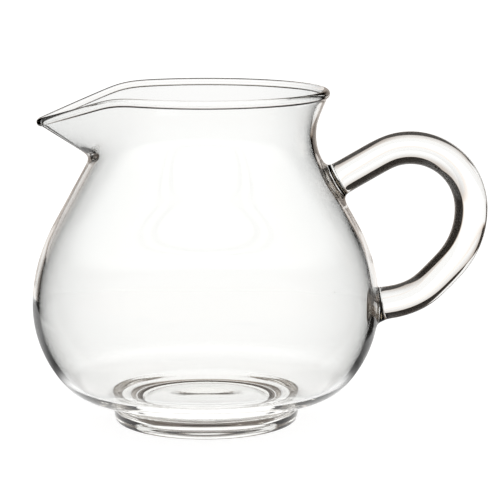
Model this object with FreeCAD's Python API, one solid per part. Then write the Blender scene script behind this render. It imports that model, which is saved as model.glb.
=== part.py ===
import FreeCAD, Part
import math
import os

# Sharing pitcher for tea: one piece of clear blown glass, with a pulled pouring beak,
# a foot ring laid on under the belly and a solid rod handle welded on at both ends.
# Lengths are millimetres and angles degrees. The origin is the centre of the foot's
# resting face, +Z runs up the body's axis, -X points out of the beak, +X out of the handle.

# The outside of the body, turned about the axis
BELLY_RADIUS = 46.2
BELLY_HEIGHT = 31.5
LOWER_BELLY_LIFT = 1.3
LOWER_BELLY_ARC = BELLY_HEIGHT - LOWER_BELLY_LIFT
SHOULDER_STRAIGHT = 19.69
BASE_ARC = 122.0
BASE_HEIGHT = 3.15
BASE_BLEND_ARC = 10.0
RIM_HEIGHT = 88.0
NECK_RADIUS = 29.3
NECK_DROP = 10.9
NECK_HEIGHT = RIM_HEIGHT - NECK_DROP
NECK_ARC = 15.0
LIP_FLARE_ANGLE = 23.5

# The wall and the thicker bottom
WALL = 1.6
BOTTOM_WALL = 2.3
BOTTOM_BLEND_ARC = 8.0

# The foot ring and the shallow mark left where the punty iron was broken off
FOOT_TOP_RADIUS = 25.1
FOOT_BOTTOM_RADIUS = 24.6
FOOT_INNER_RADIUS = 20.6
FOOT_OUTER_ROUNDING = 1.3
FOOT_INNER_ROUNDING = 0.9
PUNTY_RADIUS = 10.5
PUNTY_DEPTH = 0.7
PUNTY_MIDDLE_DEPTH = 0.55

# The pouring beak: a straight keel with two flat flanks that run tangent into the neck
KEEL_FOOT_PROUD = 1.2
KEEL_FOOT_DROP = 5.8
KEEL_FOOT_RADIUS = NECK_RADIUS + KEEL_FOOT_PROUD
KEEL_FOOT_HEIGHT = NECK_HEIGHT - KEEL_FOOT_DROP
KEEL_RISE_ANGLE = 32.0
KEEL_SOFTNESS = 1.0
BEAK_OUTER_TIP = 3.2
BEAK_INNER_TIP = 1.7
FLANK_START_ANGLE = 8.0
BEAK_STATION_COUNT = 24
BEAK_SECTION_STEP = 1.4
SEAM_ANGLE = 80.0

# The rim: level round the bowl, bent down towards the beak, with a fire-polished bead
RIM_DIP_ANGLE = 20.0
RIM_BEND_POSITION = -22.5
RIM_BEND_ARC = 18.0
BEAD_DIAMETER = 2.2
RIM_STATION_COUNT = 32
FLANK_STATION_COUNT = 3
NECK_STATION_COUNT = 12

# The handle: a solid rod along straights and arcs in the XZ plane. Its bends and its lower straight
# are shares of its height, which runs from the end of the upper straight down to the foot's bend.
ROD_DIAMETER = 8.75
HANDLE_START_DROP = 12.83
HANDLE_START_DEPTH = 0.26
HANDLE_START_ANGLE = 30.0
HANDLE_BEND_OVERHANG = 0.01
HANDLE_TOP_RATIO = 0.4149
HANDLE_TOP_ANGLE = 113.0
HANDLE_SIDE_RATIO = 0.5506
HANDLE_SIDE_ANGLE = 50.0
HANDLE_LOWER_RATIO = 0.1511
HANDLE_FOOT_RATIO = 0.461
HANDLE_FOOT_ANGLE = 36.0
HANDLE_FOOT_LIFT = 0.77
HANDLE_END_DEPTH = 7.0
UPPER_WELD_FILLET = 2.2
LOWER_WELD_FILLET = 1.6


def vector(x, z, y=0.0):
    """A point given by its distance along X, its height and, where needed, its distance along Y."""
    return FreeCAD.Vector(x, y, z)


def heading(angle):
    """The unit direction in the XZ plane at an angle above +X."""
    return vector(math.cos(math.radians(angle)), math.sin(math.radians(angle)))


def touching_circle(first, first_distance, second, second_distance):
    """The outer of the two points that lie at the stated distances from two centres."""
    step = second - first
    gap = step.Length
    along = (gap**2 + first_distance**2 - second_distance**2) / (2 * gap)
    across = math.sqrt(first_distance**2 - along**2)
    unit = step * (1 / gap)
    side = vector(-unit.z, unit.x)
    return first + unit * along + side * across


# %% The turned skins

def shoulder_arc():
    """The belly's upper arc that leaves the stated straight between itself and the neck's arc."""
    inset = NECK_RADIUS + NECK_ARC - BELLY_RADIUS
    climb = NECK_HEIGHT - BELLY_HEIGHT
    spare = inset**2 + climb**2 - NECK_ARC**2 - SHOULDER_STRAIGHT**2
    return spare / (2 * (NECK_ARC - inset))


class Skin:
    """One turned surface of the body, outside or inside, as arcs that run tangent into each other."""

    def __init__(self, wall, bottom, blend):
        self.wall = wall
        self.base_centre = vector(0, BASE_HEIGHT + BASE_ARC)
        self.base_radius = BASE_ARC - bottom
        self.lower_centre = vector(BELLY_RADIUS - LOWER_BELLY_ARC, BELLY_HEIGHT)
        self.lower_radius = LOWER_BELLY_ARC - wall
        upper_arc = shoulder_arc()
        self.upper_centre = vector(BELLY_RADIUS - upper_arc, BELLY_HEIGHT)
        self.upper_radius = upper_arc - wall
        self.neck_centre = vector(NECK_RADIUS + NECK_ARC, NECK_HEIGHT)
        self.neck_radius = NECK_ARC + wall
        self.blend_radius = blend
        self.blend_centre = touching_circle(
            self.base_centre, self.base_radius - blend, self.lower_centre, self.lower_radius - blend
        )
        # The straight shoulder is the common tangent of the belly's upper arc and the neck's arc.
        reach = self.neck_centre - self.upper_centre
        lean = math.atan2(reach.z, reach.x)
        opening = math.acos((self.upper_radius + self.neck_radius) / reach.Length)
        self.shoulder_normal = heading(math.degrees(lean - opening))
        self.shoulder_low = self.upper_centre + self.shoulder_normal * self.upper_radius
        self.shoulder_high = self.neck_centre - self.shoulder_normal * self.neck_radius
        self.lip = self.neck_centre - heading(-LIP_FLARE_ANGLE) * self.neck_radius

    def radius(self, height):
        """The radius of the body at a height, from the lower belly to above the rim."""
        if height < BELLY_HEIGHT:
            return self.lower_centre.x + math.sqrt(self.lower_radius**2 - (height - BELLY_HEIGHT)**2)
        if height < self.shoulder_low.z:
            rise = height - self.upper_centre.z
            return self.upper_centre.x + math.sqrt(self.upper_radius**2 - rise**2)
        if height < self.shoulder_high.z:
            rise = height - self.shoulder_low.z
            return self.shoulder_low.x - rise * self.shoulder_normal.z / self.shoulder_normal.x
        if height < self.lip.z:
            rise = height - self.neck_centre.z
            return self.neck_centre.x - math.sqrt(self.neck_radius**2 - rise**2)
        return self.lip.x + (height - self.lip.z) * math.tan(math.radians(LIP_FLARE_ANGLE))

    def lower_edges(self, floor_edges, floor_end):
        """The profile from the end of the floor up to the foot of the shoulder."""
        base_end = self.base_centre + (self.blend_centre - self.base_centre).normalize() * self.base_radius
        away = (self.blend_centre - self.lower_centre).normalize()
        blend_end = self.lower_centre + away * self.lower_radius
        turn = (base_end - self.blend_centre) + (blend_end - self.blend_centre)
        blend_middle = self.blend_centre + turn.normalize() * self.blend_radius
        middle_way = (floor_end - self.base_centre) + (base_end - self.base_centre)
        base_middle = self.base_centre + middle_way.normalize() * self.base_radius
        widest = self.lower_centre + heading(0) * self.lower_radius
        half = (blend_end - self.lower_centre) + (widest - self.lower_centre)
        lower_middle = self.lower_centre + half.normalize() * self.lower_radius
        climb = (widest - self.upper_centre) + (self.shoulder_low - self.upper_centre)
        upper_middle = self.upper_centre + climb.normalize() * self.upper_radius
        return floor_edges + [
            Part.Arc(floor_end, base_middle, base_end).toShape(),
            Part.Arc(base_end, blend_middle, blend_end).toShape(),
            Part.Arc(blend_end, lower_middle, widest).toShape(),
            Part.Arc(widest, upper_middle, self.shoulder_low).toShape(),
        ]

    def base_point(self, radius):
        """The point of the bottom's arc at a distance from the axis."""
        return vector(radius, self.base_centre.z - math.sqrt(self.base_radius**2 - radius**2))


def turned(edges, top):
    """The solid turned from a profile that starts on the axis and ends at a point level with its top."""
    start = edges[0].Vertexes[0].Point
    closing = [
        Part.LineSegment(top, vector(0, top.z)).toShape(),
        Part.LineSegment(vector(0, top.z), start).toShape(),
    ]
    face = Part.Face(Part.Wire(Part.__sortEdges__(edges + closing)))
    return face.revolve(FreeCAD.Vector(0, 0, 0), FreeCAD.Vector(0, 0, 1), 360)


# %% The neck with its beak

def beak_reach(skin, height):
    """How far the keel line stands out from the axis, eased into the round neck at its foot."""
    slope = math.radians(KEEL_RISE_ANGLE)
    inset = skin.wall / math.sin(slope)
    keel = KEEL_FOOT_RADIUS - inset + (height - KEEL_FOOT_HEIGHT) / math.tan(slope)
    neck = skin.radius(height)
    return (keel + neck + math.sqrt((keel - neck)**2 + KEEL_SOFTNESS**2)) / 2


def beak_section(skin, height, tip_radius):
    """The four sizes of a level section: neck radius, flank angle, tip centre and tip radius."""
    neck = skin.radius(height)
    reach = beak_reach(skin, height)
    sharp = math.degrees(math.acos((neck - tip_radius) / (reach - tip_radius)))
    angle = (sharp**6 + FLANK_START_ANGLE**6) ** (1 / 6)
    centre = (reach - neck) / (1 - math.cos(math.radians(angle)))
    return neck, angle, centre, reach - centre


def skin_radius(skin, height, tip_radius, turn):
    """The distance from the axis at a turn away from the beak: on its tip, its flank or the neck."""
    neck, angle, centre, tip = beak_section(skin, height, tip_radius)
    tip_edge = math.atan2(
        tip * math.sin(math.radians(angle)), centre + tip * math.cos(math.radians(angle))
    )
    step = math.radians(abs(turn))
    if step <= tip_edge:
        return centre * math.cos(step) + math.sqrt(tip**2 - (centre * math.sin(step))**2)
    if step <= math.radians(angle):
        return neck / math.cos(math.radians(angle) - step)
    return neck


def section_wire(skin, height, tip_radius):
    """A level section: the round neck, two straight flanks and the rounded tip of the beak."""
    # The stations lie close together at the tip and widen towards the back.
    half = [180 * (step / BEAK_STATION_COUNT)**2 for step in range(BEAK_STATION_COUNT + 1)]
    turns = half[:-1] + [360 - turn for turn in half[:0:-1]]
    side = next(number for number, turn in enumerate(turns) if turn > SEAM_ANGLE)
    turns = turns[side:] + [360 + turn for turn in turns[:side]]
    points = []
    for turn in turns:
        reach = skin_radius(skin, height, tip_radius, (turn + 180) % 360 - 180)
        angle = math.radians(180 + turn)
        points.append(vector(reach * math.cos(angle), height, reach * math.sin(angle)))
    knots = [turn - turns[0] for turn in turns] + [360]
    curve = Part.BSplineCurve()
    curve.interpolate(points, PeriodicFlag=True, Parameters=knots)
    # The back is one edge and the beak's side the other, so neither face closes on itself.
    far = 360 - 2 * turns[0]
    return Part.Wire([curve.toShape(0, far), curve.toShape(far, 360)])


def neck_solid(skin, tip_radius, top):
    """The solid through evenly stacked level sections, from the foot of the shoulder to above the rim."""
    low = skin.shoulder_low.z
    count = round((top - low) / BEAK_SECTION_STEP)
    heights = [low + (top - low) * step / count for step in range(count + 1)]
    return Part.makeLoft([section_wire(skin, height, tip_radius) for height in heights], True, False)


def full_skin(skin, floor_edges, floor_end, tip_radius, top):
    """The turned bowl and the beaked neck as one solid."""
    bowl = turned(skin.lower_edges(floor_edges, floor_end), skin.shoulder_low)
    return bowl.fuse([neck_solid(skin, tip_radius, top)], 0.02)


# %% The rim

def rim_line():
    """The rim seen from the side: level, an easing arc, a straight dip. Where the arc starts and ends."""
    ease = RIM_BEND_ARC * math.tan(math.radians(RIM_DIP_ANGLE / 2))
    level_end = vector(RIM_BEND_POSITION + ease, RIM_HEIGHT)
    dip_start = vector(RIM_BEND_POSITION, RIM_HEIGHT) - heading(RIM_DIP_ANGLE) * ease
    return level_end, dip_start


def rim_height(x):
    """The height of the rim line at a distance along X."""
    level_end, dip_start = rim_line()
    if x > level_end.x:
        return RIM_HEIGHT
    if x > dip_start.x:
        return RIM_HEIGHT - RIM_BEND_ARC + math.sqrt(RIM_BEND_ARC**2 - (x - level_end.x)**2)
    return dip_start.z + (x - dip_start.x) * math.tan(math.radians(RIM_DIP_ANGLE))


def below_rim(width, depth):
    """A block that fills everything under the rim line."""
    level_end, dip_start = rim_line()
    middle_x = (level_end.x + dip_start.x) / 2
    start = vector(width, RIM_HEIGHT)
    finish = vector(-width, rim_height(-width))
    corners = [finish, vector(-width, -depth), vector(width, -depth), start]
    edges = [
        Part.LineSegment(start, level_end).toShape(),
        Part.Arc(level_end, vector(middle_x, rim_height(middle_x)), dip_start).toShape(),
        Part.LineSegment(dip_start, finish).toShape(),
    ] + [Part.LineSegment(a, b).toShape() for a, b in zip(corners, corners[1:])]
    face = Part.Face(Part.Wire(edges))
    face.translate(FreeCAD.Vector(0, -width, 0))
    return face.extrude(FreeCAD.Vector(0, 2 * width, 0))


def middle_skin_point(station, height, middle, tip_radius):
    """A point of the wall's middle surface, by its station round tip, flank and neck."""
    neck, angle, centre, tip = beak_section(middle, height, tip_radius)
    turn = math.radians(angle)
    if station <= FLANK_STATION_COUNT:
        step = turn * station / FLANK_STATION_COUNT
        return vector(-centre - tip * math.cos(step), height, tip * math.sin(step))
    first = vector(-centre - tip * math.cos(turn), height, tip * math.sin(turn))
    last = vector(-neck * math.cos(turn), height, neck * math.sin(turn))
    if station <= NECK_STATION_COUNT:
        share = (station - FLANK_STATION_COUNT) / (NECK_STATION_COUNT - FLANK_STATION_COUNT)
        return first + (last - first) * share
    share = (station - NECK_STATION_COUNT) / (RIM_STATION_COUNT - NECK_STATION_COUNT)
    step = turn + (math.pi - turn) * share
    return vector(-neck * math.cos(step), height, neck * math.sin(step))


def rim_point(station, middle, tip_radius):
    """Where the wall's middle surface meets the rim, found by stepping to the rim's height."""
    height = RIM_HEIGHT
    for _ in range(60):
        point = middle_skin_point(station, height, middle, tip_radius)
        height = (height + rim_height(point.x)) / 2
    return middle_skin_point(station, height, middle, tip_radius)


def rim_bead():
    """The fire-polished bead: a round cord of glass that follows the wall's upper edge, ring by ring."""
    middle = Skin(WALL / 2, BOTTOM_WALL / 2, (BASE_BLEND_ARC + BOTTOM_BLEND_ARC) / 2)
    tip_radius = (BEAK_OUTER_TIP + BEAK_INNER_TIP) / 2
    half = [rim_point(station, middle, tip_radius) for station in range(RIM_STATION_COUNT + 1)]
    loop = half + [FreeCAD.Vector(point.x, -point.y, point.z) for point in half[-2:0:-1]]
    lengths = [0.0]
    for here, there in zip(loop, loop[1:] + loop[:1]):
        lengths.append(lengths[-1] + (there - here).Length)
    path = Part.BSplineCurve()
    path.interpolate(loop, PeriodicFlag=True, Parameters=lengths)
    rings = []
    for length in lengths[:-1]:
        centre = path.value(length)
        along = path.tangent(length)[0]
        outward = along.cross(FreeCAD.Vector(0, 0, 1)).normalize() * (BEAD_DIAMETER / 2)
        upward = outward.cross(along)
        eighths = [math.radians(45 * number) for number in range(8)]
        round_points = [centre + outward * math.cos(turn) + upward * math.sin(turn) for turn in eighths]
        quarters = [[round_points[(k + step) % 8] for step in range(3)] for k in range(0, 8, 2)]
        rings.append(Part.Wire([Part.Arc(*quarter).toShape() for quarter in quarters]))
    return Part.makeLoft(rings, True, False, True)


# %% The foot

def foot_profile(skin):
    """The floor of the outside: the punty mark, the bottom, and the foot ring's rounded section."""
    start = skin.base_point(PUNTY_RADIUS)
    mark_middle = vector(PUNTY_RADIUS / 2, BASE_HEIGHT + PUNTY_MIDDLE_DEPTH)
    mark = Part.Arc(vector(0, BASE_HEIGHT + PUNTY_DEPTH), mark_middle, start).toShape()
    inside = skin.base_point(FOOT_INNER_RADIUS)
    across = ((start - skin.base_centre) + (inside - skin.base_centre)).normalize()
    bottom = Part.Arc(start, skin.base_centre + across * skin.base_radius, inside).toShape()
    outside = skin.base_point(FOOT_TOP_RADIUS)
    inner, outer = FOOT_INNER_ROUNDING, FOOT_OUTER_ROUNDING
    lean = math.atan2(FOOT_TOP_RADIUS - FOOT_BOTTOM_RADIUS, outside.z)
    # The outer rounding is tangent to the resting face and to the leaning side.
    tangent = outer * math.tan((math.pi / 2 - lean) / 2)
    bottom_edge = vector(FOOT_BOTTOM_RADIUS, 0)
    side_end = bottom_edge + (outside - bottom_edge).normalize() * tangent
    rest_outer = vector(FOOT_BOTTOM_RADIUS - tangent, 0)
    rest_inner = vector(FOOT_INNER_RADIUS + inner, 0)
    wall_end = vector(FOOT_INNER_RADIUS, inner)
    corner = math.sin(math.radians(45))
    inner_middle = vector(FOOT_INNER_RADIUS + inner * (1 - corner), inner * (1 - corner))
    outer_centre = vector(rest_outer.x, outer)
    bulge = ((side_end - outer_centre) + (rest_outer - outer_centre)).normalize() * outer
    edges = [
        mark,
        bottom,
        Part.LineSegment(inside, wall_end).toShape(),
        Part.Arc(wall_end, inner_middle, rest_inner).toShape(),
        Part.LineSegment(rest_inner, rest_outer).toShape(),
        Part.Arc(rest_outer, outer_centre + bulge, side_end).toShape(),
        Part.LineSegment(side_end, outside).toShape(),
    ]
    return edges, outside


# %% The handle

def handle_rod(skin):
    """The rod, from inside the shoulder over the top and back into the belly, and the height of its end."""
    rise = HANDLE_START_ANGLE
    height = NECK_HEIGHT - HANDLE_START_DROP
    start = vector(skin.radius(height) - HANDLE_START_DEPTH, height)
    straight = (BELLY_RADIUS + HANDLE_BEND_OVERHANG - start.x) / math.cos(math.radians(rise))
    first = start - heading(rise) * ROD_DIAMETER
    path = [Part.LineSegment(first, start + heading(rise) * straight).toShape()]
    drop = path[0].Vertexes[-1].Point.z - BELLY_HEIGHT - HANDLE_FOOT_LIFT
    bends = [
        (drop * HANDLE_TOP_RATIO, HANDLE_TOP_ANGLE, 0),
        (drop * HANDLE_SIDE_RATIO, HANDLE_SIDE_ANGLE, drop * HANDLE_LOWER_RATIO),
        (drop * HANDLE_FOOT_RATIO, HANDLE_FOOT_ANGLE, 0),
    ]
    for arc, turn, run in bends:
        here = path[-1].Vertexes[-1].Point
        centre = here + heading(rise - 90) * arc
        middle = centre + heading(rise + 90 - turn / 2) * arc
        there = centre + heading(rise + 90 - turn) * arc
        path.append(Part.Arc(here, middle, there).toShape())
        rise = rise - turn
        if run:
            path.append(Part.LineSegment(there, there + heading(rise) * run).toShape())
    # The last straight runs through the wall and ends well inside, where the hollow cuts it off.
    depth = there.x - skin.radius(there.z) + HANDLE_END_DEPTH
    end = there - heading(rise) * (depth / math.cos(math.radians(rise)))
    path.append(Part.LineSegment(there, end).toShape())
    ring = Part.Wire(Part.Circle(first, heading(HANDLE_START_ANGLE), ROD_DIAMETER / 2).toShape())
    return Part.Wire(path).makePipeShell([ring], True, False), end.z


def weld_edges(joined, meeting, centre_height):
    """The edges of the joined shape that lie on the line where the rod's skin meets the body's skin."""
    found = []
    for edge in joined.Edges:
        middle = edge.valueAt((edge.FirstParameter + edge.LastParameter) / 2)
        near = Part.Vertex(middle).distToShape(meeting)[0] < WALL / 20
        if near and abs(middle.z - centre_height) < ROD_DIAMETER * 1.2:
            found.append(edge)
    return found


# %% The whole pitcher

outside = Skin(0, 0, BASE_BLEND_ARC)
inside = Skin(WALL, BOTTOM_WALL, BOTTOM_BLEND_ARC)
TOP = RIM_HEIGHT + 3 * BEAD_DIAMETER

foot_edges, foot_end = foot_profile(outside)
body = full_skin(outside, foot_edges, foot_end, BEAK_OUTER_TIP, TOP)
hollow = full_skin(inside, [], inside.base_point(0), BEAK_INNER_TIP, TOP)

# The rod is welded to the solid form first, and the hollow then cuts off what stands inside the wall.
rod, rod_end_height = handle_rod(outside)
meeting = body.Shells[0].section(rod.Shells[0])
welded = body.fuse(rod)
welded = welded.makeFillet(UPPER_WELD_FILLET, weld_edges(welded, meeting, NECK_HEIGHT - HANDLE_START_DROP))
welded = welded.makeFillet(LOWER_WELD_FILLET, weld_edges(welded, meeting, rod_end_height))

# The rim is trimmed to its line and gets its bead last, because the bead covers the trimmed edge.
glass = welded.cut(hollow).common(below_rim(3 * BELLY_RADIUS, RIM_HEIGHT))
pitcher = glass.fuse(rim_bead()).Solids[0]
print("valid", pitcher.isValid(), "volume", round(pitcher.Volume / 1000, 2), "ml of glass")
box = pitcher.optimalBoundingBox()
print("size", round(box.XLength, 1), round(box.YLength, 1), round(box.ZLength, 1))

os.makedirs("parts", exist_ok=True)
pitcher.exportStep("parts/pitcher.step")
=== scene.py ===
# %% [markdown]
# A tea sharing pitcher, blown from one piece of clear glass: a round belly on a foot ring, a waisted
# neck, a beak pulled out of the rim, and a handle bent from solid rod and fused on at both ends.
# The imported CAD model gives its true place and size. One smooth mesh stands for it here, because glass
# shows every facet. Nothing is ever joined to it or moves on it, so the whole pitcher is one piece.

import math

import bmesh
import bpy
from mathutils import Matrix, Vector


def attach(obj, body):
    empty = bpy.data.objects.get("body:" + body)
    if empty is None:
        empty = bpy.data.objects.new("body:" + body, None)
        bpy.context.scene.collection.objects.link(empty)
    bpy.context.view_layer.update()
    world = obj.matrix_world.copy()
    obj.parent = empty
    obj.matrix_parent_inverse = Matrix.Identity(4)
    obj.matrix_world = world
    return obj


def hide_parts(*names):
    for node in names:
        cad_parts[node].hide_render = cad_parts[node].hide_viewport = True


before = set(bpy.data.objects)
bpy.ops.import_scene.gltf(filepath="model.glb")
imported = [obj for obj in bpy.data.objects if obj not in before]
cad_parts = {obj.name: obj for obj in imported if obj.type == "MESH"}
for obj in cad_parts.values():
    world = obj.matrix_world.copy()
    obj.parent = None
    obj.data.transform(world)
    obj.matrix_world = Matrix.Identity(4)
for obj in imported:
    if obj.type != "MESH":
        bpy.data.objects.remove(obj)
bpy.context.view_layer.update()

# %% [markdown]
# The sizes are those of the CAD model, in millimetres. The glass is drawn as two skins, the outer one
# and the inner one, each a chain of arcs that share their centres, so that the wall keeps its thickness.
# Every skin is described by one function: its distance from the axis at a height.

# %% Sizes of the two skins
BELLY_RADIUS = 46.2
BELLY_HEIGHT = 31.5
LOWER_BELLY_ARC = 30.2
UPPER_BELLY_ARC = 43.5
BASE_ARC = 122.0
BASE_HEIGHT = 3.15
BASE_BLEND_ARC = 10.0
NECK_RADIUS = 29.3
NECK_HEIGHT = 77.1
NECK_ARC = 15.0
LIP_FLARE = 23.5
RIM_HEIGHT = 88.0
WALL = 1.6
BOTTOM_WALL = 2.3
BOTTOM_BLEND_ARC = 8.0
print("belly:", 2 * BELLY_RADIUS, "mm across, rim:", RIM_HEIGHT, "mm high")

# %% [markdown]
# Hot glass pulls itself smooth, so its arcs run into each other without a corner. Two arcs do that
# where the line through their centres crosses them. A skin is therefore worked out from its centres,
# and the same lines serve both skins: the arcs of the inner one differ by the wall's thickness.

# %% The two skins
def heading(degrees):
    """The direction at an angle above the level, in the plane of the profile."""
    return Vector((math.cos(math.radians(degrees)), math.sin(math.radians(degrees))))


def touching_centre(first, first_reach, second, second_reach):
    """The outer of the two points that lie at the given distances from two centres."""
    across = second - first
    gap = across.length
    along = (gap**2 + first_reach**2 - second_reach**2) / (2 * gap)
    aside = math.sqrt(first_reach**2 - along**2)
    way = across.normalized()
    sides = [first + way * along + Vector((-way.y, way.x)) * s for s in (aside, -aside)]
    return max(sides, key=lambda point: point.x)


class Skin:
    """One side of the glass, a wall's thickness inside the outer shape."""

    def __init__(self, depth, bottom_depth, blend):
        self.depth = depth
        self.upper_arc = UPPER_BELLY_ARC - depth
        self.lower_arc = LOWER_BELLY_ARC - depth
        self.neck_arc = NECK_ARC + depth
        self.base_arc = BASE_ARC - bottom_depth
        self.upper = Vector((BELLY_RADIUS - UPPER_BELLY_ARC, BELLY_HEIGHT))
        self.lower = Vector((BELLY_RADIUS - LOWER_BELLY_ARC, BELLY_HEIGHT))
        self.neck = Vector((NECK_RADIUS + NECK_ARC, NECK_HEIGHT))
        self.base = Vector((0, BASE_HEIGHT + BASE_ARC))
        self.blend_arc = blend
        self.blend = touching_centre(
            self.base, self.base_arc - blend, self.lower, self.lower_arc - blend
        )
        across = self.neck - self.upper
        lean = math.atan2(across.y, across.x)
        opening = math.acos((self.upper_arc + self.neck_arc) / across.length)
        self.normal = heading(math.degrees(lean - opening))
        self.shoulder_low = self.upper + self.normal * self.upper_arc
        self.shoulder_high = self.neck - self.normal * self.neck_arc
        self.lip = self.neck - heading(-LIP_FLARE) * self.neck_arc

    def radius(self, height):
        """The distance from the axis at a height, from the widest place up to the rim."""
        if height < BELLY_HEIGHT:
            rise = height - self.lower.y
            return self.lower.x + math.sqrt(self.lower_arc**2 - rise**2)
        if height < self.shoulder_low.y:
            rise = height - self.upper.y
            return self.upper.x + math.sqrt(self.upper_arc**2 - rise**2)
        if height < self.shoulder_high.y:
            rise = height - self.shoulder_low.y
            return self.shoulder_low.x - rise * self.normal.y / self.normal.x
        if height < self.lip.y:
            rise = height - self.neck.y
            return self.neck.x - math.sqrt(self.neck_arc**2 - rise**2)
        return self.lip.x + (height - self.lip.y) * math.tan(math.radians(LIP_FLARE))

    def floor(self, radius):
        """The point of the bottom's arc at a distance from the axis."""
        return Vector((radius, self.base.y - math.sqrt(self.base_arc**2 - radius**2)))

    def lower_side(self, count, blend_count):
        """Points from the end of the bottom's arc, round its blend and up to the widest place."""
        first = self.base + (self.blend - self.base).normalized() * self.base_arc
        second = self.lower + (self.blend - self.lower).normalized() * self.lower_arc
        start = math.degrees(math.atan2(*(first - self.blend).yx))
        end = math.degrees(math.atan2(*(second - self.blend).yx))
        turns = [start + (end - start) * k / blend_count for k in range(blend_count + 1)]
        points = [self.blend + heading(turn) * self.blend_arc for turn in turns]
        return points + [
            self.lower + heading(end * (1 - k / count)) * self.lower_arc
            for k in range(1, count + 1)
        ]


outer = Skin(0, 0, BASE_BLEND_ARC)
inner = Skin(WALL, BOTTOM_WALL, BOTTOM_BLEND_ARC)
print("neck radius:", round(outer.radius(NECK_HEIGHT), 2), "rim radius:", round(outer.radius(RIM_HEIGHT), 2))

# %% [markdown]
# The beak is pulled out of the soft lip with a tool. From above it has two straight flanks and a
# rounded tip, and along its underside runs a keel. A level cut through it is a circle, two tangents
# and a small arc. The next functions give that cut's distance from the axis in any direction.

# %% The beak's level sections
KEEL_FOOT_RADIUS = 30.5
KEEL_FOOT_HEIGHT = 71.3
KEEL_RISE = 32.0
KEEL_SOFTNESS = 1.0
OUTER_TIP = 3.2
INNER_TIP = 1.7
FLANK_START = 8.0
FLANK_EASE = 6


def beak_reach(skin, height):
    """How far the keel line stands out from the axis, eased into the round neck at its foot."""
    slope = math.radians(KEEL_RISE)
    keel = KEEL_FOOT_RADIUS - skin.depth / math.sin(slope) + (height - KEEL_FOOT_HEIGHT) / math.tan(slope)
    neck = skin.radius(height)
    return (keel + neck + math.sqrt((keel - neck) ** 2 + KEEL_SOFTNESS**2)) / 2


def pulled_radius(skin, height, turn, tip_radius):
    """The distance from the axis at a turn away from the beak: tip, flank or round neck."""
    neck = skin.radius(height)
    reach = beak_reach(skin, height)
    sharp = math.degrees(math.acos((neck - tip_radius) / (reach - tip_radius)))
    angle = math.radians((sharp**FLANK_EASE + FLANK_START**FLANK_EASE) ** (1 / FLANK_EASE))
    centre = (reach - neck) / (1 - math.cos(angle))
    tip = reach - centre
    tip_edge = math.atan2(tip * math.sin(angle), centre + tip * math.cos(angle))
    step = math.radians(abs(turn))
    if step <= tip_edge:
        return centre * math.cos(step) + math.sqrt(tip**2 - (centre * math.sin(step)) ** 2)
    if step <= angle:
        return neck / math.cos(angle - step)
    return neck


print("beak reach at the rim's dip:", round(beak_reach(outer, 80.0), 2))

# %% [markdown]
# The rim dips towards the beak's tip. Seen from the side it is level, then bends, then falls in a
# straight line. Where the rim runs at any turn is found by stepping up the middle of the wall.

# %% The rim line
RIM_DIP = 20.0
RIM_BEND_X = -22.5
RIM_BEND_ARC = 18.0
HALVINGS = 60


def rim_height(x):
    """The height of the rim at a distance along X."""
    ease = RIM_BEND_ARC * math.tan(math.radians(RIM_DIP / 2))
    if x > RIM_BEND_X + ease:
        return RIM_HEIGHT
    start = Vector((RIM_BEND_X, RIM_HEIGHT)) - heading(RIM_DIP) * ease
    if x > start.x:
        drop = math.sqrt(RIM_BEND_ARC**2 - (x - RIM_BEND_X - ease) ** 2)
        return RIM_HEIGHT - RIM_BEND_ARC + drop
    return start.y + (x - start.x) * math.tan(math.radians(RIM_DIP))


def wall_middle(turn, height):
    """The point halfway through the wall at a turn and a height."""
    reach = pulled_radius(outer, height, turn, OUTER_TIP) + pulled_radius(inner, height, turn, INNER_TIP)
    angle = math.radians(180 - turn)
    return Vector((math.cos(angle) * reach / 2, math.sin(angle) * reach / 2, height))


def rim_point(turn):
    """Where the middle of the wall reaches the rim, at a turn away from the beak."""
    height = RIM_HEIGHT
    for _ in range(HALVINGS):
        height = (height + rim_height(wall_middle(turn, height).x)) / 2
    return wall_middle(turn, height)


print("beak tip:", [round(v, 2) for v in rim_point(0)])

# %% [markdown]
# The body starts as a profile that is spun once round the axis. The profile lists the rows of the mesh,
# from the middle of the floor inside, up the inner wall, over the rim and down the outer wall to the
# foot ring and the hollow under it. Rows lie closer where the shape bends or where a weld will sit.
# %% The rows inside, up to the bead
WELD_ROWS = 3
UPPER_WELD_HEIGHT = 64.4
BEAD_TURNS = (225, 206, 180, 145, 107, 73, 35, 0, -26, -45)
inner_heights = [36.5, 42, 47.5, 53, 58.5, 64.4, 67.4, 69.8, 71.6]
inner_heights += [73.4, 75.4, 77.7, 80.2, 82.7, 85, 86.5, 87.05]
rows = []


def add_row(kind, radius, height):
    """Notes a row of the mesh and returns its number."""
    rows.append((kind, radius, height))
    return len(rows) - 1


for radius in (0.0, 7.0, 14.0, 21.0):
    add_row("turned", *inner.floor(radius))
for point in inner.lower_side(5, 2):
    add_row("turned", *point)
for height in inner_heights:
    add_row("inner wall", inner.radius(height), height)
bead_start = len(rows)
for number, turn in enumerate(BEAD_TURNS):
    add_row("bead", 31.5 + 0.1 * number, RIM_HEIGHT + math.sin(math.radians(turn)))
print(len(rows), "rows up to the rim")

# %% [markdown]
# Outside, the rows come down again. At each of the handle's two welds, seven of them lie close and
# evenly, because a patch will be cut out there. At the lower weld they are turned out of the belly's
# arcs, above and below the widest place, so that the patch is as high as it is wide.

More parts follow.
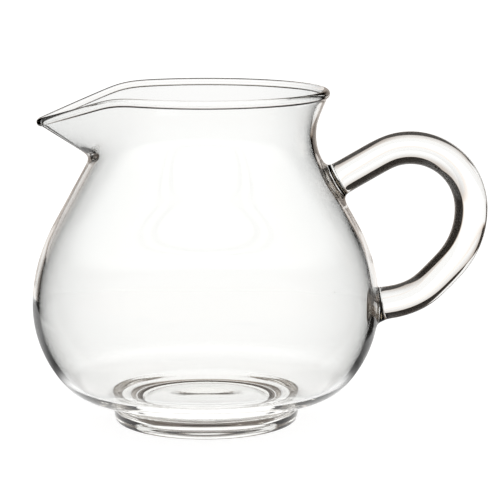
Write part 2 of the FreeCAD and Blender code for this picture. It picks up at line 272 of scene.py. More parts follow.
# %% The rows outside, down to the belly
UPPER_WELD_STEP = 1.84
LOWER_WELD_TURN = 4.4
weld_heights = [UPPER_WELD_HEIGHT + k * UPPER_WELD_STEP for k in range(-WELD_ROWS, WELD_ROWS + 1)]
outer_heights = [42, 46.5, 51, 55, *weld_heights, 71.5, 73.2, 75, 77, 79.2, 81.4, 83.4, 85.2, 86.5, 87.05]
for height in reversed(outer_heights):
    row = add_row("outer wall", outer.radius(height), height)
    if height == weld_heights[WELD_ROWS]:
        upper_weld_row = row
turn_above = LOWER_WELD_TURN * LOWER_BELLY_ARC / UPPER_BELLY_ARC
for k in range(WELD_ROWS, 0, -1):
    add_row("turned", *(outer.upper + heading(k * turn_above) * UPPER_BELLY_ARC))
lower_weld_row = add_row("turned", BELLY_RADIUS, BELLY_HEIGHT)
for k in range(1, WELD_ROWS + 1):
    add_row("turned", *(outer.lower + heading(-k * LOWER_WELD_TURN) * LOWER_BELLY_ARC))
print("welds at rows", upper_weld_row, "and", lower_weld_row)

# %% [markdown]
# The foot is a ring of glass that was fused under the bottom, so it has a rounded edge and a soft slope
# inside. The bottom is slightly hollow, with a shallow mark in its middle where the rod that held the
# hot piece was cracked off. All of it is guessed, because the photo shows it only through the glass.

# %% The rows of the foot ring and the bottom
MARK_DEPTH = 0.7
side = [point for point in outer.lower_side(7, 2) if point.y < rows[-1][2] - 1.5]
for point in reversed(side):
    add_row("turned", *point)
foot = [(26.2, outer.floor(26.2).y), (25.12, outer.floor(25.1).y - 0.12), (25.02, 4.6), (24.86, 2.6)]
foot += [(24.68, 1.0), (24.25, 0.22), (23.3, 0.0), (21.6, 0.0), (20.85, 0.2), (20.45, 0.9), (20.0, 2.0)]
foot += [(19.0, 3.2), (17.4, 4.0)]
foot += [(radius, outer.floor(radius).y) for radius in (15.4, 13.4, 11.2)]
foot += [(9.2, BASE_HEIGHT + 0.45), (6.6, BASE_HEIGHT + 0.54), (3.6, BASE_HEIGHT + 0.65)]
foot += [(0.0, BASE_HEIGHT + MARK_DEPTH)]
for radius, height in foot:
    add_row("turned", radius, height)
print(len(rows), "rows in all")

# %% [markdown]
# Spin makes even columns. They are then turned about the axis, so that they stand close together
# at the beak's narrow tip, fairly close at the handle's welds and wide apart at the plain sides.
# Subdivision draws a curve a little inside its corners, so each column is also pushed out by that much.

# %% The columns
half_gaps = [3.6] * 4 + [4.6, 5.8, 7.0, 8.2] + [9.2] * 8
half_gaps += [8.0, 6.9, 6.0, 5.0, 4.2, 3.5, 3.0, 2.6, 2.2, 1.6, 1.2, 1.0, 0.9, 0.8]
half_gaps = [gap * 180 / sum(half_gaps) for gap in half_gaps]
column_angles = [sum(half_gaps[:k]) for k in range(len(half_gaps) + 1)]
COLUMNS = 2 * len(half_gaps)


def swell(step):
    """How much a circle of corners this many radians apart grows, so that its subdivided curve fits."""
    return 1 / (1 - (1 - math.cos(step)) / 3)


def column_swell(column):
    """How much a circle through this column has to grow."""
    place = abs(column)
    gaps = half_gaps[max(place - 1, 0)], half_gaps[min(place, len(half_gaps) - 1)]
    return swell(math.radians(sum(gaps) / 2))


rims = [rim_point(180 - angle) for angle in column_angles]
print(COLUMNS, "columns,", round(half_gaps[0], 2), "degrees apart at the handle,", end=" ")
print(round(max(half_gaps), 2), "at the sides and", round(half_gaps[-1], 2), "at the beak")

# %% [markdown]
# The bead is the fire-polished edge: heat pulls the cut rim into a round cord a little thicker than
# the wall. It follows the rim, so at each column it needs the rim's direction and the wall's.

# %% The bead
BEAD_RADIUS = 1.1
BEAD_STEP = 38
BELOW_RIM = 0.8


def rim_at(column):
    """The rim's point at a column of either half, handle side first."""
    point = rims[min(abs(column), COLUMNS - abs(column))].copy()
    if column < 0 or column > len(half_gaps):
        point.y = -point.y
    return point


def bead_point(column, turn):
    """A point round the bead, from straight out at 0 degrees over the top to straight in at 180."""
    centre = rim_at(column)
    along = (rim_at(column + 1) - rim_at(column - 1)).normalized()
    angle = column_angles[abs(column)]
    below = wall_middle(180 - angle, centre.z - BELOW_RIM)
    if column < 0:
        below.y = -below.y
    up = centre - below
    up = (up - along * up.dot(along)).normalized()
    out = along.cross(up).normalized()
    reach = BEAD_RADIUS * swell(math.radians(BEAD_STEP))
    step = math.radians(turn)
    return centre + out * math.cos(step) * reach + up * math.sin(step) * reach


print("bead over the handle:", [round(v, 2) for v in bead_point(0, 90)])

# %% [markdown]
# Below the bead a vertex sits on its skin. Its row gives the height and its column the direction, and
# the beak's level section gives the distance. Towards the beak the rows of the neck are squeezed
# together, because the rim is lower there.

# %% Placing a vertex by its row and column
def wall_height(row_height, column):
    """The height of a row at a column, which in the neck is lower where the rim is."""
    if row_height <= UPPER_WELD_HEIGHT:
        return row_height
    share = (rim_at(column).z - UPPER_WELD_HEIGHT) / (RIM_HEIGHT - UPPER_WELD_HEIGHT)
    return UPPER_WELD_HEIGHT + (row_height - UPPER_WELD_HEIGHT) * share


def glass_point(row, column):
    """Where the vertex of a row and a column belongs, in millimetres."""
    kind, radius, height = rows[row]
    if kind == "bead":
        return bead_point(column, BEAD_TURNS[row - bead_start])
    if kind != "turned":
        skin, tip = (outer, OUTER_TIP) if kind == "outer wall" else (inner, INNER_TIP)
        height = wall_height(height, column)
        radius = pulled_radius(skin, height, 180 - column_angles[abs(column)], tip)
    angle = math.copysign(math.radians(column_angles[abs(column)]), column)
    radius *= column_swell(column)
    return Vector((radius * math.cos(angle), radius * math.sin(angle), height))


print("upper weld's middle:", [round(v, 2) for v in glass_point(upper_weld_row, 0)])

# %% [markdown]
# Now the profile is spun, and every vertex is set in its place. This is the step that pulls the beak.
# Each vertex keeps the numbers of its row and column, so that later steps can find it.

# %% Spinning the glass
shell = bmesh.new()
row_tag = shell.verts.layers.int.new("row")
line = []
for number, (_, radius, height) in enumerate(rows):
    vertex = shell.verts.new((radius, 0, height))
    vertex[row_tag] = number
    line.append(vertex)
for lower, upper in zip(line, line[1:]):
    shell.edges.new((lower, upper))
bmesh.ops.spin(
    shell, geom=shell.verts[:] + shell.edges[:], cent=(0, 0, 0), axis=(0, 0, 1),
    angle=math.tau, steps=COLUMNS, use_merge=True,
)
column_tag = shell.verts.layers.int.new("column")
for vertex in shell.verts:
    turn = math.atan2(vertex.co.y, vertex.co.x) if vertex.co.xy.length > 0.01 else 0
    vertex[column_tag] = round(turn / math.tau * COLUMNS)
    vertex.co = glass_point(vertex[row_tag], vertex[column_tag])
bmesh.ops.remove_doubles(shell, verts=shell.verts[:], dist=0.001)
print("spun shell:", len(shell.verts), "vertices,", len(shell.faces), "faces")

# %% [markdown]
# The handle is a separate glass rod. Its hot ends are pressed on the wall, so each weld is a smooth
# flare with no gap. To model that, a square patch of the outer wall is drawn round into a circle,
# cut out, and joined to the rod's end ring. The wall inside stays whole, as it does in the real piece.
#
# Vertices that are moved must stay on the wall, or its reflections bend. So a moved vertex is first
# placed between the old rows and columns, and then the smooth surface, which Blender will draw a little
# inside its corners, is pushed back on the skin. Sixteen, four and one are a corner's, a neighbour's and
# a diagonal neighbour's share in that smooth surface.

# %% Keeping moved vertices on the wall
PATCH_REACH = 9
SETTLE_TURNS = 6
BESIDE = ((1, 0), (-1, 0), (0, 1), (0, -1))
ACROSS = ((1, 1), (1, -1), (-1, 1), (-1, -1))


def on_wall(spots, row, column):
    """The point of the outer wall at a place given in rows and columns, parts of them too."""
    last = PATCH_REACH - 1
    down, across = (min(max(math.floor(place), -PATCH_REACH), last) for place in (row, column))
    upper = spots[down, across].lerp(spots[down, across + 1], column - across)
    lower = spots[down + 1, across].lerp(spots[down + 1, across + 1], column - across)
    angle, height = upper.lerp(lower, row - down)
    radius = outer.radius(height) * column_swell(across)
    return Vector((radius * math.cos(angle), radius * math.sin(angle), height))


def settle(wall):
    """Pushes the moved vertices in or out until their smooth surface lies on the outer skin."""
    inside = [key for key in wall if max(abs(key[0]), abs(key[1])) < PATCH_REACH]
    for turn in range(SETTLE_TURNS):
        moves = {}
        for row, column in inside:
            beside = sum((wall[row + a, column + b].co for a, b in BESIDE), Vector())
            across = sum((wall[row + a, column + b].co for a, b in ACROSS), Vector())
            smooth = (wall[row, column].co * 16 + beside * 4 + across) / 36
            moves[row, column] = outer.radius(smooth.z) - smooth.xy.length
        if turn == 0:
            print("furthest from the wall:", round(max(map(abs, moves.values())), 3), "mm")
        for key, move in moves.items():
            vertex = wall[key]
            vertex.co.xy *= 1 + move / vertex.co.xy.length


# %% [markdown]
# A square is drawn into a disc ring by ring, with even steps round each ring. Further out this fades,
# so that the wall's own rows and columns go on undisturbed.

# %% Rounding the wall for the welds
ROD_RADIUS = 4.375
UPPER_FLARE = 1.4
LOWER_FLARE = 1.0
FADE_END = 2.6
ROUND_SWELL = 1.012


def disc_place(across, down, radius):
    """Where a place of the square, from -1 to 1 each way, lies in the disc."""
    far, near = (across, down) if abs(across) >= abs(down) else (down, across)
    step = math.pi / 4 * near / far
    ring = Vector((math.cos(step), math.sin(step))) * math.copysign(radius * abs(far), far)
    return ring if abs(across) >= abs(down) else ring.yx


def round_patch(centre_row, flare):
    """Draws the wall's rows and columns round a weld into circles, less and less further out."""
    wall = {}
    for vertex in shell.verts:
        column, row = vertex[column_tag], vertex[row_tag] - centre_row
        if abs(column) <= PATCH_REACH and abs(row) <= PATCH_REACH:
            wall[row, column] = vertex
    spots = {key: Vector((math.atan2(v.co.y, v.co.x), v.co.z)) for key, v in wall.items()}
    width = (wall[0, WELD_ROWS].co - wall[0, -WELD_ROWS].co).length / 2
    lift = (wall[-WELD_ROWS, 0].co - wall[WELD_ROWS, 0].co).length / 2
    for (row, column), vertex in wall.items():
        across, down = column / WELD_ROWS, row / WELD_ROWS
        square = max(abs(across), abs(down))
        if square == 0 or square >= FADE_END:
            continue
        fade = min(max((square - 1) / (FADE_END - 1), 0), 1)
        fade = fade * fade * (3 - 2 * fade)
        disc = disc_place(across, down, (ROD_RADIUS + flare) * ROUND_SWELL)
        disc = Vector((disc.x / width, disc.y / lift)) * WELD_ROWS
        place = disc.lerp(Vector((column, row)), fade)
        vertex.co = on_wall(spots, place.y, place.x)
    print("weld patch:", round(2 * width, 1), "x", round(2 * lift, 1), "mm before rounding")
    settle(wall)


round_patch(upper_weld_row, UPPER_FLARE)
round_patch(lower_weld_row, LOWER_FLARE)

# %% [markdown]
# The handle rises from the shoulder, turns over in a tight bend and a wide one, and comes back to the
# belly's widest place. Its middle line is straights and arcs that run into each other. A station is a
# point of that line, its heading and the rod's radius there, which grows at both ends into the flares.

# %% The handle's line
HANDLE_START = (34.0, 64.27)
HANDLE_RISE = 30.0
HANDLE_STRAIGHT = 14.1
HANDLE_BENDS = ((16.2, 113.0, 0.0), (21.5, 50.0, 5.9), (18.0, 36.0, 4.9))
STATION_STEP = 3.4
UPPER_END = ((0.92, 0.4), (1.55, 0.1), (2.7, 0.0), (5.3, 0.0), (8.3, 0.0), (11.3, 0.0))
LOWER_END = ((2.4, 0.0), (1.0, 0.08), (0.48, 0.32))


def handle_stations():
    """Points and headings down the handle, from the shoulder over the top to the belly."""
    here, rise = Vector(HANDLE_START), HANDLE_RISE
    stations = [(here + heading(rise) * way, rise, ROD_RADIUS + more) for way, more in UPPER_END]
    here = here + heading(rise) * HANDLE_STRAIGHT
    stations.append((here, rise, ROD_RADIUS))
    for number, (arc, turn, straight) in enumerate(HANDLE_BENDS):
        centre = here + heading(rise - 90) * arc
        steps = round(math.radians(turn) * arc / STATION_STEP)
        reach = arc * swell(math.radians(turn / steps))
        for k in range(1, steps + 1):
            way = rise - turn * k / steps
            stations.append((centre + heading(way + 90) * reach, way, ROD_RADIUS))
        rise -= turn
        here = centre + heading(rise + 90) * arc + heading(rise) * straight
        if straight and number < len(HANDLE_BENDS) - 1:
            stations.append((here, rise, ROD_RADIUS))
    # The last straight runs on to the belly's skin.
    reach = (here.x - BELLY_RADIUS) / -math.cos(math.radians(rise))
    for short, more in LOWER_END:
        stations.append((here + heading(rise) * (reach - short), rise, ROD_RADIUS + more))
    return stations


stations = handle_stations()
print("handle:", len(stations), "stations")

# %% [markdown]
# Before the rod is drawn, the two patches are cut out of the wall. The edges left open are the ones
# that the rod will be welded to.

# %% Cutting the patches out
def in_patch(vertex, centre_row):
    """Whether a vertex lies in the patch round a weld, or on its edge."""
    return abs(vertex[row_tag] - centre_row) <= WELD_ROWS and abs(vertex[column_tag]) <= WELD_ROWS


for centre_row in (upper_weld_row, lower_weld_row):
    inside = [face for face in shell.faces if all(in_patch(v, centre_row) for v in face.verts)]
    bmesh.ops.delete(shell, geom=inside, context="FACES")
wall_edges = [edge for edge in shell.edges if edge.is_boundary]
print("open edges at the welds:", len(wall_edges))

# %% [markdown]
# The rod is a ring of 24 vertices, extruded station by station along the handle's line. Each new ring
# is carried back to the origin by the last station's matrix, scaled, and carried to the next station.

# %% Sweeping the rod
RING = 24


def ring_frame(point, rise):
    """The matrix that carries a ring lying level at the origin to a station of the handle."""
    return Matrix.Translation((point.x, 0, point.y)) @ Matrix.Rotation(math.radians(90 - rise), 4, "Y")


last_frame, last_radius = Matrix.Identity(4), 1
made = bmesh.ops.create_circle(shell, cap_ends=False, segments=RING, radius=swell(math.tau / RING))
ring = made["verts"]
ring_edges = first_edges = [edge for edge in shell.edges if all(vertex in ring for vertex in edge.verts)]
for number, (point, rise, radius) in enumerate(stations):
    if number:
        grown = bmesh.ops.extrude_edge_only(shell, edges=ring_edges)["geom"]
        ring = [item for item in grown if isinstance(item, bmesh.types.BMVert)]
        edges = [item for item in grown if isinstance(item, bmesh.types.BMEdge)]
        ring_edges = [edge for edge in edges if all(vertex in ring for vertex in edge.verts)]
    bmesh.ops.transform(shell, matrix=last_frame.inverted(), verts=ring)
    bmesh.ops.scale(shell, vec=(radius / last_radius,) * 3, verts=ring)
    last_frame, last_radius = ring_frame(point, rise), radius
    bmesh.ops.transform(shell, matrix=last_frame, verts=ring)
print("rod:", len(stations), "rings of", RING)

# %% [markdown]
# The flares close the gap between the cut wall and the rod's end rings. Bridging needs two loops
# with the same number of vertices, which is why the ring has as many as the patch has edges.

# %% Welding the rod on
BETWEEN_WELDS = 50
upper_wall = [edge for edge in wall_edges if edge.verts[0].co.z > BETWEEN_WELDS]
lower_wall = [edge for edge in wall_edges if edge.verts[0].co.z < BETWEEN_WELDS]
bmesh.ops.bridge_loops(shell, edges=upper_wall + first_edges)
bmesh.ops.bridge_loops(shell, edges=lower_wall + ring_edges)
bmesh.ops.recalc_face_normals(shell, faces=shell.faces[:])
open_edges = [edge for edge in shell.edges if not edge.is_manifold]
four_sided = [face for face in shell.faces if len(face.verts) == 4]
print("open edges:", len(open_edges), "faces:", len(shell.faces), "four-sided:", len(four_sided))

# %% [markdown]
# Blown glass has no flat spot anywhere. Subdivision rounds the mesh off twice, which is as fine as the
# eye can tell in the bent view through it. So far all is in millimetres, and the scene is in metres.

# %% The finished mesh, in metres
LEVELS = 2
MILLIMETRE = 0.001
bmesh.ops.scale(shell, vec=(MILLIMETRE,) * 3, verts=shell.verts)
mesh = bpy.data.meshes.new("blown_pitcher")
shell.to_mesh(mesh)
shell.free()
mesh.polygons.foreach_set("use_smooth", [True] * len(mesh.polygons))
pitcher = bpy.data.objects.new("blown_pitcher", mesh)
bpy.context.scene.collection.objects.link(pitcher)
smooth = pitcher.modifiers.new("smooth", "SUBSURF")
smooth.levels = smooth.render_levels = LEVELS
print("pitcher:", len(mesh.polygons) * 4**LEVELS, "smooth faces")

# %% [markdown]
# Each material is a small graph of nodes. Adding nodes and joining their sockets one by one takes many
# lines, so this class gives short ways to do it: plain sums, soft steps, mixed shaders and lights.

# %% Short ways to build node graphs
WHITE = (1, 1, 1, 1)


class Graph:
    """The nodes of one material or world, with short ways to add and join them."""

    def __init__(self, owner):
        owner.use_nodes = True
        self.nodes, self.links = owner.node_tree.nodes, owner.node_tree.links

    def add(self, kind, **settings):
        """A new node of a kind, with its settings."""
        node = self.nodes.new("ShaderNode" + kind)
        for name, value in settings.items():
            setattr(node, name, value)
        return node

    def feed(self, socket, value):
        """Joins another node's output to a socket, or sets the socket to a plain value."""
        if isinstance(value, bpy.types.NodeSocket):
            self.links.new(value, socket)
        else:
            socket.default_value = value

    def fill(self, node, **values):
        """Feeds several of a node's sockets, named with _ for each space."""
        for name, value in values.items():
            self.feed(node.inputs[name.replace("_", " ")], value)
        return node

    def math(self, operation, *values):
        """One sum of the Math node."""
        node = self.add("Math", operation=operation)
        for socket, value in zip(node.inputs, values):
            self.feed(socket, value)
        return node.outputs[0]

    def times(self, *values):
        """The product of several values. For values of 0 or 1 it means that all of them hold."""
        product = values[0]
        for value in values[1:]:
            product = self.math("MULTIPLY", product, value)
        return product

    def largest(self, *values):
        """The largest of several values. For values of 0 or 1 it means that one of them holds."""
        largest = values[0]
        for value in values[1:]:
            largest = self.math("MAXIMUM", largest, value)
        return largest

    def opposite(self, value):
        """1 for 0, and 0 for 1."""
        return self.math("SUBTRACT", 1.0, value)

    def above(self, value, limit):
        """1 where a value is above a limit, and otherwise 0."""
        return self.math("GREATER_THAN", value, limit)

    def below(self, value, limit):
        """1 where a value is below a limit, and otherwise 0."""
        return self.math("LESS_THAN", value, limit)

    def ease(self, value, start, end, low=0.0, high=1.0):
        """A soft step from low to high as the value goes from start to end."""
        node = self.add("MapRange", interpolation_type="SMOOTHSTEP")
        self.fill(node, Value=value, From_Min=start, From_Max=end, To_Min=low, To_Max=high)
        return node.outputs["Result"]

    def coordinates(self, kind):
        """The place or direction of a kind of coordinates, whole and in its three parts."""
        whole = self.add("TexCoord").outputs[kind]
        parts = self.fill(self.add("SeparateXYZ"), Vector=whole).outputs
        return whole, parts["X"], parts["Y"], parts["Z"]

    def light(self, strength, kind="Emission", color=WHITE):
        """A surface or a sky that gives light of a strength."""
        return self.fill(self.add(kind), Color=color, Strength=strength).outputs[0]

    def mix(self, share, first, second):
        """The first shader, or the second by a share from 0 to 1."""
        node = self.fill(self.add("MixShader"), Fac=share)
        self.links.new(first, node.inputs[1])
        self.links.new(second, node.inputs[2])
        return node.outputs[0]

    def both(self, first, second):
        """Two shaders added up."""
        node = self.add("AddShader")
        self.links.new(first, node.inputs[0])
        self.links.new(second, node.inputs[1])
        return node.outputs[0]

    def finish(self, kind, shader):
        """Gives the graph its output."""
        self.feed(self.add(kind).inputs["Surface"], shader)


# %% [markdown]
# The real pitcher is clear, hard glass with a fire-polished skin: nothing rough, almost no colour, and
# only where the glass is thick does it look a little deeper. A transparent shader would show its shape
# without bending the view. The Principled shader with full transmission bends it, by an index of
# refraction of 1.47. Volume absorption adds the depth of colour, because it counts the way in the glass.

# %% Clear glass
glass = bpy.data.materials.new("clear_glass")
graph = Graph(glass)
polished = graph.nodes["Principled BSDF"]
graph.fill(polished, Base_Color=(0.985, 0.99, 0.985, 1), Roughness=0.0, IOR=1.47, Transmission_Weight=1.0)
depth = graph.fill(graph.add("VolumeAbsorption"), Color=(0.99, 0.98, 0.96, 1), Density=50)
graph.feed(graph.nodes["Material Output"].inputs["Volume"], depth.outputs[0])
mesh.materials.append(glass)
print("glass: index of refraction", polished.inputs["IOR"].default_value)

# %% [markdown]
# Glass that is blown and turned by hand is never quite even: it has faint rings round its axis, and
# here and there a seed, which is a tiny bubble. They are far too small to model, so they are bumps in
# the shading: a noise that is stretched round the body, and a few dots of a cell pattern. Both read
# Object coordinates, so they stay on the glass from every side.

# %% Waves and seeds in the glass
WAVE_SCALE = (38, 38, 95)
WAVE_DEPTH = 0.00003
SEED_SCALE = 120
SEED_SHARE = 0.28
SEED_RADIUS = 0.035
SEED_DEPTH = 0.0001
place = graph.coordinates("Object")[0]
stretched = graph.fill(graph.add("Mapping"), Vector=place, Scale=WAVE_SCALE).outputs["Vector"]
waves = graph.fill(graph.add("TexNoise"), Vector=stretched, Scale=1.0, Detail=1.0).outputs[0]
cells = graph.fill(graph.add("TexVoronoi"), Vector=place, Scale=SEED_SCALE)
lot = graph.fill(graph.add("SeparateColor"), Color=cells.outputs["Color"]).outputs["Red"]
dot = graph.ease(cells.outputs["Distance"], 0.0, SEED_RADIUS, 1.0, 0.0)
seeds = graph.times(dot, graph.above(lot, 1 - SEED_SHARE))
wavy = graph.fill(graph.add("Bump"), Height=waves, Strength=1.0, Distance=WAVE_DEPTH).outputs[0]
seeded = graph.fill(graph.add("Bump"), Height=seeds, Strength=0.6, Distance=SEED_DEPTH, Normal=wavy)
graph.feed(polished.inputs["Normal"], seeded.outputs[0])
print("waves about", round(1000 / WAVE_SCALE[2]), "mm apart")
print("seeds up to", round(2000 * SEED_RADIUS / SEED_SCALE, 2), "mm across")

# %% [markdown]
# Clear glass shows nothing of its own, only its surroundings bent and mirrored. A photographer sets it
# on a white table before a white board that is just larger than it, and keeps the room dim. The glass
# is white where the view goes through it to the board, grey where it turns some light away, and dark
# along its edges, where it bends the view past the board.
#
# In a real studio the table, the boards and black flags are moved until each kind of line looks right.
# Here each surface asks the Light Path node which way a ray came, and answers with the light that a
# board or a flag would give it. Glossy Depth counts how often a ray was mirrored, and Transmission
# Depth how often it crossed the skin of the glass: twice for the solid rod, four times for two walls.

# %% Which way a ray has come
def ray_kinds(graph):
    """Values of 0 or 1 that say of each ray how it came here."""
    path = graph.add("LightPath")
    mirrored, crossed = path.outputs["Glossy Depth"], path.outputs["Transmission Depth"]
    leaving = path.outputs["Is Transmission Ray"]
    by_glass = graph.largest(path.outputs["Is Glossy Ray"], leaving)
    # The table's polish mirrors a ray once, after it has left the glass.
    once = graph.below(mirrored, 1.5)
    by_table = graph.times(once, graph.above(crossed, 1.5), graph.opposite(leaving), by_glass)
    straight = graph.times(graph.largest(graph.below(mirrored, 0.5), by_table), by_glass)
    # Light that runs along inside a wall and comes out again still shows the board.
    one_wall = graph.below(crossed, 3.5)
    along_wall = graph.times(graph.largest(one_wall, graph.above(crossed, 4.5)), leaving)
    return {
        "glass": by_glass,
        "camera": path.outputs["Is Camera Ray"],
        "leaving": leaving,
        "table": by_table,
        "straight": straight,
        "through": graph.largest(straight, along_wall),
        "solid": one_wall,
        "grazed": graph.times(graph.above(mirrored, 0.5), once, graph.below(crossed, 0.5), by_glass),
        "lost": graph.times(graph.above(crossed, 3.5), graph.above(mirrored, 0.5)),
    }


BOARD_LIGHT = 1.1
FRONT_LIGHT = 0.55
LOST_LIGHT = 0.1
GRAZED_SHARE = 0.55
print("light of the board:", BOARD_LIGHT, "and from the front:", FRONT_LIGHT)

# %% [markdown]
# The table is one large level square at the height of the foot. For the camera it is white paper, and a
# little of its brightness is real shading, so that the pitcher's shadow still falls on it.

# %% The table
TABLE_HALF = 4.0
table_mesh = bpy.data.meshes.new("floor")
sheet = bmesh.new()
bmesh.ops.create_grid(sheet, x_segments=1, y_segments=1, size=TABLE_HALF)
sheet.to_mesh(table_mesh)
sheet.free()
table = bpy.data.objects.new("floor", table_mesh)
bpy.context.scene.collection.objects.link(table)
print("table:", [round(v, 2) for v in table.dimensions], "m")

# %% [markdown]
# Through the glass the table is like polished white stone: it mirrors the board behind, and on top of
# that it has painted light, an emission that stands for the board's and the room's light falling on it.
# That painted lit part ends at the sides where the board ends, and that draws the dark lines along the
# handle and the foot. Right under the pitcher the painted light is a bright pool, brighter than white.

# %% The white tabletop and its painted light
TABLE_SHOWN = 0.9
TABLE_GLOW = 0.13
TABLE_GLOW_BY_ROD = 0.05
TABLE_POLISH = 0.88
UNDER_LIGHT = 1.2
BOARD_LEFT, BOARD_RIGHT = -0.15, 0.155
LIT_RIGHT = 0.087

paper = bpy.data.materials.new("white_paper")
graph = Graph(paper)
graph.nodes.clear()
rays = ray_kinds(graph)
place, x, y, _ = graph.coordinates("Object")
away = graph.fill(graph.add("VectorMath", operation="LENGTH"), Vector=place).outputs["Value"]

# Painted light: how brightly each part of the table is lit for rays by the glass, as emission: the back, the
# front, and round the foot.
right_end = graph.ease(y, 0.07, 0.17, LIT_RIGHT, BOARD_RIGHT)
within_right = graph.ease(graph.math("SUBTRACT", x, right_end), -0.008, 0.002, 1.0, 0.0)
within_left = graph.ease(x, BOARD_LEFT, BOARD_LEFT + 0.015)
lit = graph.times(within_left, graph.ease(y, -0.28, -0.03, FRONT_LIGHT), within_right)
in_front = graph.ease(y, 0.05, -0.15, 0.0, FRONT_LIGHT)
painted_light_round_foot = graph.ease(away, 0.045, 0.07, 1.0, 0.0)
lit_behind = graph.times(lit, graph.ease(y, 0.0, 0.07, 0.0, GRAZED_SHARE))
painted_light_under_foot = graph.ease(away, 0.04, 0.058, 1.0, 0.0)
painted_light_under_belly = graph.times(graph.ease(away, 0.055, 0.1, 1.0, 0.0), graph.opposite(rays["solid"]))

# What the camera sees, and what each kind of ray by the glass sees.
matt = graph.fill(graph.add("BsdfDiffuse"), Color=(0.4, 0.4, 0.4, 1)).outputs[0]
seen = graph.mix(rays["camera"], matt, graph.both(matt, graph.light(TABLE_SHOWN)))
glow = graph.ease(rays["solid"], 0.0, 1.0, TABLE_GLOW, TABLE_GLOW_BY_ROD)
polish = graph.add("BsdfAnisotropic")
graph.fill(polish, Color=(TABLE_POLISH,) * 3 + (1,), Roughness=0.05)
# Painted light: an emission where the board would light the table, added to the table's real polish.
polish_and_painted_light = graph.both(graph.light(graph.times(lit, glow)), polish.outputs[0])
dim = graph.light(graph.largest(in_front, painted_light_round_foot, graph.times(rays["lost"], LOST_LIGHT)))
grazed = graph.light(graph.largest(lit_behind, graph.times(in_front, 0.6), graph.times(painted_light_round_foot, 0.5)))
bent = graph.mix(rays["grazed"], graph.mix(rays["through"], dim, polish_and_painted_light), grazed)
# Painted light: a bright pool of emission under the belly and the foot.
bent = graph.mix(graph.largest(painted_light_under_belly, painted_light_under_foot), bent, graph.light(UNDER_LIGHT))
graph.finish("OutputMaterial", graph.mix(rays["glass"], seen, bent))
table_mesh.materials.append(paper)
print("tabletop:", len(graph.nodes), "nodes")

# %% [markdown]
# The board stands close behind the pitcher. It is a grid of one face, turned upright. The camera sees
# the white background through it, because it is lit only for rays that come by the glass. Its edges
# are soft, and where it is dim it is warm, as light from a room is.

# %% The white board
BOARD_DISTANCE = 0.184
BOARD_HALF = 0.2
BOARD_TOP = 0.16
FADE_LOW, FADE_HIGH = 0.108, 0.155
LOW_PART, LOW_PART_END = 0.035, 0.05
WARM = (1.0, 0.74, 0.54, 1)


def warmed(graph, lit):
    """White where fully lit, and warmer the dimmer it is."""
    node = graph.fill(graph.add("Mix", data_type="RGBA"), Factor=lit, A=WARM, B=WHITE)
    return next(socket for socket in node.outputs if socket.type == "RGBA")


board_mesh = bpy.data.meshes.new("board")
sheet = bmesh.new()
upright = Matrix.Rotation(math.radians(90), 4, "X")
stand = Matrix.Translation((0, BOARD_DISTANCE, BOARD_TOP / 2))
narrow = Matrix.Diagonal((1, 1, BOARD_TOP / 2 / BOARD_HALF, 1))
bmesh.ops.create_grid(sheet, x_segments=1, y_segments=1, size=BOARD_HALF, matrix=stand @ narrow @ upright)
sheet.to_mesh(board_mesh)
sheet.free()
board = bpy.data.objects.new("board", board_mesh)
bpy.context.scene.collection.objects.link(board)

board_paint = bpy.data.materials.new("white_board")
graph = Graph(board_paint)
graph.nodes.clear()
rays = ray_kinds(graph)
_, x, _, z = graph.coordinates("Object")
left = graph.ease(x, BOARD_LEFT - 0.005, BOARD_LEFT + 0.03)
right = graph.ease(x, BOARD_RIGHT - 0.015, BOARD_RIGHT, 1.0, 0.0)
top = graph.ease(z, FADE_LOW, FADE_HIGH, 1.0, 0.0)
# Rays by the solid rod see only the low part of it. For the rest they see the far board.
low = graph.ease(z, LOW_PART, LOW_PART_END, 1.0, 0.0)
behind = graph.times(rays["through"], graph.largest(low, graph.opposite(rays["solid"])))
shown = graph.largest(behind, graph.times(rays["grazed"], GRAZED_SHARE))
lit = graph.times(left, right, top, shown)
clear = graph.add("BsdfTransparent").outputs[0]
light = graph.light(BOARD_LIGHT, color=warmed(graph, lit))
graph.finish("OutputMaterial", graph.mix(lit, clear, light))
board_mesh.materials.append(board_paint)
print("board lit for", round(BOARD_RIGHT - BOARD_LEFT, 3), "m, and", BOARD_TOP, "m high")

# %% [markdown]
# The room is the world. The camera sees it plain white, and surfaces are lit by an even, soft light.
# Rays that come by the glass see a dim room, with soft light from the front and three windows: a low
# one on the left, one in front on the right and a high one behind on the left. The windows brighten
# the glass in the views from the side and from behind.

# %% The room's windows
WINDOW_LIGHT = 1.15
WINDOW_EDGE = 4
SIDE_WINDOWS = ((180, 12, -0.2, 0.13), (-45, 13, -0.2, 0.44), (135, 13, 0.25, 0.56))

world = bpy.data.worlds.new("studio")
bpy.context.scene.world = world
graph = Graph(world)
graph.nodes.clear()
rays = ray_kinds(graph)
_, x, y, z = graph.coordinates("Generated")
turn = graph.math("ARCTAN2", y, x)
lit = graph.ease(y, 0.35, -0.7, 0.0, FRONT_LIGHT)
for middle, half, bottom, top in SIDE_WINDOWS:
    off = graph.math("WRAP", graph.math("SUBTRACT", turn, math.radians(middle)), math.pi, -math.pi)
    off = graph.math("ABSOLUTE", off)
    window = graph.ease(off, math.radians(half), math.radians(half + WINDOW_EDGE), WINDOW_LIGHT, 0.0)
    height = graph.times(graph.ease(z, top, top + 0.05, 1.0, 0.0), graph.ease(z, bottom - 0.05, bottom))
    lit = graph.largest(lit, graph.times(window, height, rays["straight"]))
print("windows:", len(SIDE_WINDOWS))

# %% [markdown]
# Far behind stands one more board, for the solid rod and for rays that the table has mirrored. It is
# bright in the middle and falls off softly. Where it ends, the white in the rod ends too, and that
# draws the dark band along the rod's inner side. Its upper end is lower towards the left.

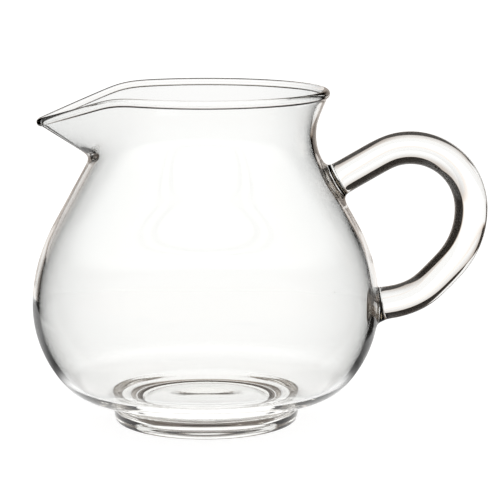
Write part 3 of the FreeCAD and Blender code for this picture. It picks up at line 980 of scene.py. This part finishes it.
# %% The far board and the dim room
FAR_MIDDLE, FAR_HALF, FAR_BRIGHT = 95.5, 29, 12
FAR_TOP_LEFT, FAR_TOP, FAR_TOP_BY_TABLE = 0.2, 0.27, 0.7
DARK_BY_ROD, DARK_BY_WALL = 0.004, 0.045
ROOM_LIGHT = 0.55

off = graph.math("ABSOLUTE", graph.math("SUBTRACT", turn, math.radians(FAR_MIDDLE)))
width = graph.ease(off, math.radians(FAR_HALF), math.radians(FAR_HALF + 2.5), BOARD_LIGHT, 0.0)
width = graph.times(width, graph.ease(off, math.radians(FAR_BRIGHT), math.radians(FAR_HALF), 1.0, 0.72))
slanting = graph.ease(x, -0.3, 0.05, FAR_TOP_LEFT, FAR_TOP)
end = graph.ease(rays["leaving"], 0.0, 1.0, FAR_TOP_BY_TABLE, slanting)
rise = graph.math("SUBTRACT", z, end)
height = graph.times(graph.ease(rise, -0.015, 0.015, 1.0, 0.0), graph.ease(rise, -0.25, -0.01, 1.0, 0.75))
shown = graph.largest(rays["table"], graph.times(rays["through"], rays["solid"]))
lit = graph.largest(lit, graph.times(width, height, shown))
dark = graph.ease(rays["solid"], 0.0, 1.0, DARK_BY_WALL, DARK_BY_ROD)
lit = graph.largest(lit, graph.times(rays["lost"], LOST_LIGHT), dark)
bent = graph.light(lit, "Background", warmed(graph, lit))
seen = graph.mix(rays["glass"], graph.light(ROOM_LIGHT, "Background"), bent)
background = graph.light(1.0, "Background")
graph.finish("OutputWorld", graph.mix(rays["camera"], seen, background))
print("room:", len(graph.nodes), "nodes")

# %% [markdown]
# The camera stands where the photographer's stood. Its height, tilt and lens were found by fitting the
# pitcher's outline to the photograph. A long lens from 60 cm keeps the ellipses of rim and foot flat.
# Glass needs more bounces than Blender's usual limit, or light that wanders in the thick bottom and in
# the welds is given up on and turns black.

# %% Camera
PICTURE_WIDTH = 500
LENS_IN_PIXELS = 2225
SENSOR = 36
CAMERA_PLACE = (0.0118, -0.585, 0.1455)
CAMERA_TILT = 9.65
camera_data = bpy.data.cameras.new("camera")
camera_data.sensor_width = SENSOR
camera_data.lens = LENS_IN_PIXELS / PICTURE_WIDTH * SENSOR
camera_data.clip_start, camera_data.clip_end = 0.01, 50
camera = bpy.data.objects.new("camera", camera_data)
camera.location = CAMERA_PLACE
camera.rotation_euler = (math.radians(90 - CAMERA_TILT), 0, 0)
bpy.context.scene.collection.objects.link(camera)
bpy.context.scene.camera = camera
bpy.context.scene.view_settings.view_transform = "Standard"
bpy.context.scene.cycles.max_bounces = 24
bpy.context.scene.cycles.glossy_bounces = 16
bpy.context.scene.cycles.transmission_bounces = 24
print("lens:", round(camera_data.lens, 1), "mm")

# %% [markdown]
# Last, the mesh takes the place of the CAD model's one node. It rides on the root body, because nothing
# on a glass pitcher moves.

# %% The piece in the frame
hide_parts("pitcher")
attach(pitcher, "root")
bpy.context.view_layer.update()
